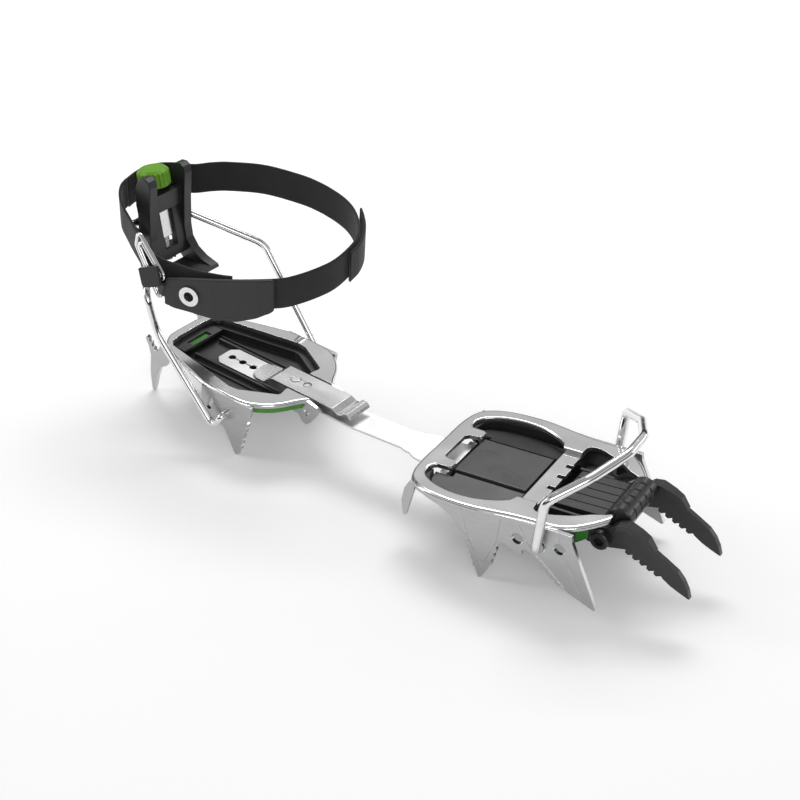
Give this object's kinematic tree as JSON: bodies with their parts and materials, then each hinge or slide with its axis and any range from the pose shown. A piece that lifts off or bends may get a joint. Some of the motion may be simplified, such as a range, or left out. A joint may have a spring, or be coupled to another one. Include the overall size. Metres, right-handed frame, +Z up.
{
  "type": "step-in crampon",
  "caption": "Crampon with toe and heel frames on a sliding bar, down-turned spikes, front points, wire bails, heel lever with screw knob, and an ankle strap.",
  "frame": {"origin": "middle of the whole object's box, on the ground the spikes stand on", "axes": "+X from heel to toe, +Y to the side away from the strap's buckle, +Z up"},
  "size_m": [0.397, 0.1164, 0.1431],
  "materials": {
    "stamped_steel": "polished on its rims, fine satin elsewhere",
    "spring_sheet": "bright, lightly brushed lengthways",
    "wire_steel": "bright drawn wire",
    "turned_steel": "machined, bright",
    "coated_steel": "dark coating, soft sheen",
    "grey_pad": "smooth, slightly mottled",
    "black_plastic": "moulded, semi-matt",
    "green_plastic": "bright green, satin",
    "webbing": "ribbed weave",
    "strap_rubber": "smooth, faint grain"
  },
  "bodies": {
    "heel": {"heel_frame": "stamped_steel", "heel_tray": "black_plastic", "heel_base": "green_plastic", "rear_insert": "green_plastic"},
    "clip": {"adjuster_clip": "spring_sheet", "clip_peg": "turned_steel"},
    "bar": {"centre_bar": "spring_sheet"},
    "toe": {"toe_frame": "stamped_steel", "toe_bridge_plate": "stamped_steel", "toe_base": "green_plastic", "toe_liner_left": "black_plastic", "toe_liner_right": "black_plastic", "toe_centre_pad": "grey_pad", "toe_side_pad_left": "grey_pad", "toe_side_pad_right": "grey_pad", "toe_front_cover": "black_plastic", "point_spacer_1": "coated_steel", "point_spacer_2": "coated_steel", "point_spacer_3": "coated_steel", "point_spacer_4": "coated_steel", "point_spacer_5": "coated_steel", "front_point_left": "coated_steel", "front_point_right": "coated_steel", "point_bolt": "coated_steel", "point_nut": "coated_steel"},
    "toe_wire": {"toe_bail": "wire_steel"},
    "heel_wire": {"heel_bail": "wire_steel"},
    "nut": {"bail_nut": "turned_steel"},
    "lever": {"lever_body": "black_plastic", "strap_band": "webbing", "strap_tail": "webbing", "strap_patch": "strap_rubber", "strap_eyelet": "turned_steel", "strap_end": "webbing", "strap_flap": "webbing"},
    "screw": {"adjuster_screw": "turned_steel", "adjuster_knob": "green_plastic", "screw_clip": "turned_steel"},
    "rings": {"buckle_ring_outer": "wire_steel", "buckle_ring_inner": "wire_steel"}
  },
  "joints": [
    {"name": "clip_flex", "type": "hinge", "parent": "heel", "child": "clip", "pos_m": [-0.09987, -0.00946, 0.03416], "axis": [0, -1, 0], "range_deg": [-2, 8], "stiffness_Nm_per_rad": 1.5},
    {"name": "bar_slide", "type": "slide", "parent": "heel", "child": "bar", "axis": [1, 0, 0], "range_m": [-0.0255, 0.0425]},
    {"name": "toe_rock", "type": "hinge", "parent": "bar", "child": "toe", "pos_m": [0.04589, -0.00231, 0.03492], "axis": [-0.1011, 0.9949, 0], "range_deg": [-6, 6]},
    {"name": "toe_bail_swing", "type": "hinge", "parent": "toe", "child": "toe_wire", "pos_m": [0.11815, 0.00503, 0.03524], "axis": [-0.1011, 0.9949, 0], "range_deg": [-65, 35]},
    {"name": "heel_bail_swing", "type": "hinge", "parent": "heel", "child": "heel_wire", "pos_m": [-0.09127, -0.00946, 0.02706], "axis": [0, 1, 0], "range_deg": [-32, 40]},
    {"name": "lever_swing", "type": "hinge", "parent": "heel_wire", "child": "nut", "pos_m": [-0.18607, -0.00946, 0.10966], "axis": [0, 1, 0], "range_deg": [-30, 0]},
    {"name": "lever_slide", "type": "slide", "parent": "nut", "child": "lever", "axis": [-0.1994, 0, 0.9799], "range_m": [0, 0.005]},
    {"name": "screw_spin", "type": "hinge", "parent": "lever", "child": "screw", "pos_m": [-0.17947, -0.00946, 0.10516], "axis": [-0.1994, 0, 0.9799], "range_deg": [-5, 1805]},
    {"name": "ring_swing", "type": "hinge", "parent": "lever", "child": "rings", "pos_m": [-0.13947, -0.05146, 0.09396], "axis": [0.2996, -0.0999, 0.9488], "range_deg": [0, 4]}
  ],
  "couplings": [
    {"joint": "screw_spin", "follows": "lever_slide", "rad_per_m": 6283.2}
  ]
}
